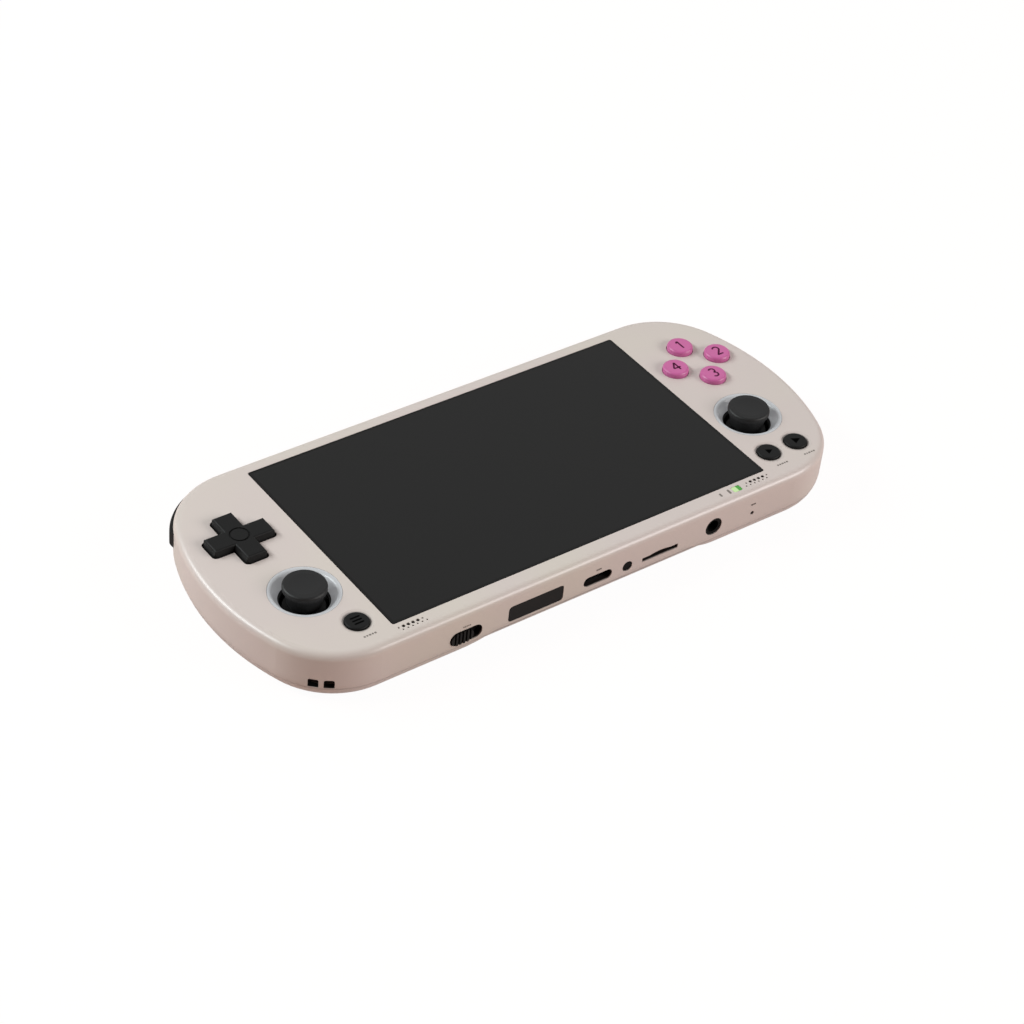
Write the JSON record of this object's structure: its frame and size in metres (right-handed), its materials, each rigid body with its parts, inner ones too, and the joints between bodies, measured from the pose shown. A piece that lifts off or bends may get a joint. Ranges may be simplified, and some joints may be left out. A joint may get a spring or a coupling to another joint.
{
  "type": "handheld game console",
  "caption": "Slim handheld game console with a wide screen, tilting thumb sticks, a rocking direction pad, round face buttons and hinged shoulder buttons.",
  "frame": {"origin": "centre of the overall box, on the plane the back rests on", "axes": "+X along the length towards the face buttons, +Y towards the shoulder edge, +Z out of the screen"},
  "size_m": [0.1866, 0.0804, 0.0192],
  "materials": {
    "shell": "fine matte texture",
    "cover_glass": "polished, dark behind",
    "display": "dark, switched off",
    "black_plastic": "satin",
    "stick_rubber": "soft matte",
    "button_plastic": "satin, slightly clear",
    "ring_plastic": "satin",
    "silicone": "matte",
    "board": "solder mask",
    "pouch": "laminated film",
    "steel": "plain",
    "light_plastic": "clear, tinted"
  },
  "bodies": {
    "case": {"front_shell": "shell", "rear_shell": "shell", "screen_glass": "cover_glass", "display_panel": "display", "shield_plate": "steel", "main_board": "board", "battery": "pouch", "control_board_left": "board", "control_board_right": "board", "key_strip": "board", "stick_ring_left": "ring_plastic", "stick_ring_right": "ring_plastic", "stick_housing_left": "black_plastic", "stick_housing_right": "black_plastic", "pad_membrane": "silicone", "face_membrane": "silicone", "menu_membrane": "silicone", "system_membrane": "silicone", "hinge_pins": "steel", "shoulder_switches": "black_plastic", "switch_body": "steel", "port_cover": "black_plastic", "sensor_window": "cover_glass", "usb_socket": "steel", "audio_jack": "black_plastic", "card_socket": "steel", "light_pipe": "light_plastic", "speaker_left": "black_plastic", "speaker_right": "black_plastic", "vibration_motor": "steel", "screws": "steel"},
    "stick_gimbal_left": {"stick_gimbal_left": "steel"},
    "stick_left": {"stick_left": "stick_rubber"},
    "stick_gimbal_right": {"stick_gimbal_right": "steel"},
    "stick_right": {"stick_right": "stick_rubber"},
    "pad_pivot": {"pad_pivot": "ring_plastic"},
    "direction_pad": {"direction_pad": "black_plastic"},
    "face_button_top": {"face_button_top": "button_plastic"},
    "face_button_right": {"face_button_right": "button_plastic"},
    "face_button_bottom": {"face_button_bottom": "button_plastic"},
    "face_button_left": {"face_button_left": "button_plastic"},
    "menu_button": {"menu_button": "black_plastic"},
    "select_button": {"select_button": "black_plastic"},
    "start_button": {"start_button": "black_plastic"},
    "shoulder_left": {"shoulder_left": "black_plastic"},
    "shoulder_right": {"shoulder_right": "black_plastic"},
    "trigger_left": {"trigger_left": "black_plastic"},
    "trigger_right": {"trigger_right": "black_plastic"},
    "power_button": {"power_button": "shell"},
    "volume_down": {"volume_down": "shell"},
    "volume_up": {"volume_up": "shell"},
    "switch_knob": {"switch_knob": "black_plastic"}
  },
  "joints": [
    {"name": "stick_left_fore_aft", "type": "hinge", "parent": "case", "child": "stick_gimbal_left", "pos_m": [-0.0728, -0.0126, 0.01085], "axis": [1, 0, 0], "range_deg": [-12.5, 12.5], "stiffness_Nm_per_rad": 0.04},
    {"name": "stick_left_sideways", "type": "hinge", "parent": "stick_gimbal_left", "child": "stick_left", "pos_m": [-0.0728, -0.0126, 0.01085], "axis": [0, 1, 0], "range_deg": [-12.5, 12.5], "stiffness_Nm_per_rad": 0.04},
    {"name": "stick_right_fore_aft", "type": "hinge", "parent": "case", "child": "stick_gimbal_right", "pos_m": [0.0728, -0.0126, 0.01085], "axis": [1, 0, 0], "range_deg": [-12.5, 12.5], "stiffness_Nm_per_rad": 0.04},
    {"name": "stick_right_sideways", "type": "hinge", "parent": "stick_gimbal_right", "child": "stick_right", "pos_m": [0.0728, -0.0126, 0.01085], "axis": [0, 1, 0], "range_deg": [-12.5, 12.5], "stiffness_Nm_per_rad": 0.04},
    {"name": "pad_rock_fore_aft", "type": "hinge", "parent": "case", "child": "pad_pivot", "pos_m": [-0.0765, 0.0127, 0.01242], "axis": [1, 0, 0], "range_deg": [-4.5, 4.5], "stiffness_Nm_per_rad": 0.15, "deforming": ["pad_membrane"]},
    {"name": "pad_rock_sideways", "type": "hinge", "parent": "pad_pivot", "child": "direction_pad", "pos_m": [-0.0765, 0.0127, 0.01242], "axis": [0, 1, 0], "range_deg": [-4.5, 4.5], "stiffness_Nm_per_rad": 0.15, "deforming": ["pad_membrane"]},
    {"name": "face_top_press", "type": "slide", "parent": "case", "child": "face_button_top", "axis": [0, 0, -1], "range_m": [0, 0.0012], "stiffness_N_per_m": 800, "deforming": ["face_membrane"]},
    {"name": "face_right_press", "type": "slide", "parent": "case", "child": "face_button_right", "axis": [0, 0, -1], "range_m": [0, 0.0012], "stiffness_N_per_m": 800, "deforming": ["face_membrane"]},
    {"name": "face_bottom_press", "type": "slide", "parent": "case", "child": "face_button_bottom", "axis": [0, 0, -1], "range_m": [0, 0.0012], "stiffness_N_per_m": 800, "deforming": ["face_membrane"]},
    {"name": "face_left_press", "type": "slide", "parent": "case", "child": "face_button_left", "axis": [0, 0, -1], "range_m": [0, 0.0012], "stiffness_N_per_m": 800, "deforming": ["face_membrane"]},
    {"name": "menu_press", "type": "slide", "parent": "case", "child": "menu_button", "axis": [0, 0, -1], "range_m": [0, 0.0006], "stiffness_N_per_m": 1500, "deforming": ["menu_membrane"]},
    {"name": "select_press", "type": "slide", "parent": "case", "child": "select_button", "axis": [0, 0, -1], "range_m": [0, 0.0006], "stiffness_N_per_m": 1500, "deforming": ["system_membrane"]},
    {"name": "start_press", "type": "slide", "parent": "case", "child": "start_button", "axis": [0, 0, -1], "range_m": [0, 0.0006], "stiffness_N_per_m": 1500, "deforming": ["system_membrane"]},
    {"name": "shoulder_left_press", "type": "hinge", "parent": "case", "child": "shoulder_left", "pos_m": [-0.0495, 0.0342, 0.01167], "axis": [0, 0, 1], "range_deg": [0, 1.5], "stiffness_Nm_per_rad": 1.7},
    {"name": "shoulder_right_press", "type": "hinge", "parent": "case", "child": "shoulder_right", "pos_m": [0.0495, 0.0342, 0.01167], "axis": [0, 0, -1], "range_deg": [0, 1.5], "stiffness_Nm_per_rad": 1.7},
    {"name": "trigger_left_press", "type": "hinge", "parent": "case", "child": "trigger_left", "pos_m": [-0.0495, 0.0342, 0.00715], "axis": [0, 0, 1], "range_deg": [0, 1.5], "stiffness_Nm_per_rad": 1.7},
    {"name": "trigger_right_press", "type": "hinge", "parent": "case", "child": "trigger_right", "pos_m": [0.0495, 0.0342, 0.00715], "axis": [0, 0, -1], "range_deg": [0, 1.5], "stiffness_Nm_per_rad": 1.7},
    {"name": "power_press", "type": "slide", "parent": "case", "child": "power_button", "axis": [0, -1, 0], "range_m": [0, 0.0004], "stiffness_N_per_m": 3000},
    {"name": "volume_down_press", "type": "slide", "parent": "case", "child": "volume_down", "axis": [0, -1, 0], "range_m": [0, 0.0004], "stiffness_N_per_m": 3000},
    {"name": "volume_up_press", "type": "slide", "parent": "case", "child": "volume_up", "axis": [0, -1, 0], "range_m": [0, 0.0004], "stiffness_N_per_m": 3000},
    {"name": "switch_slide", "type": "slide", "parent": "case", "child": "switch_knob", "axis": [1, 0, 0], "range_m": [0, 0.0026]}
  ]
}
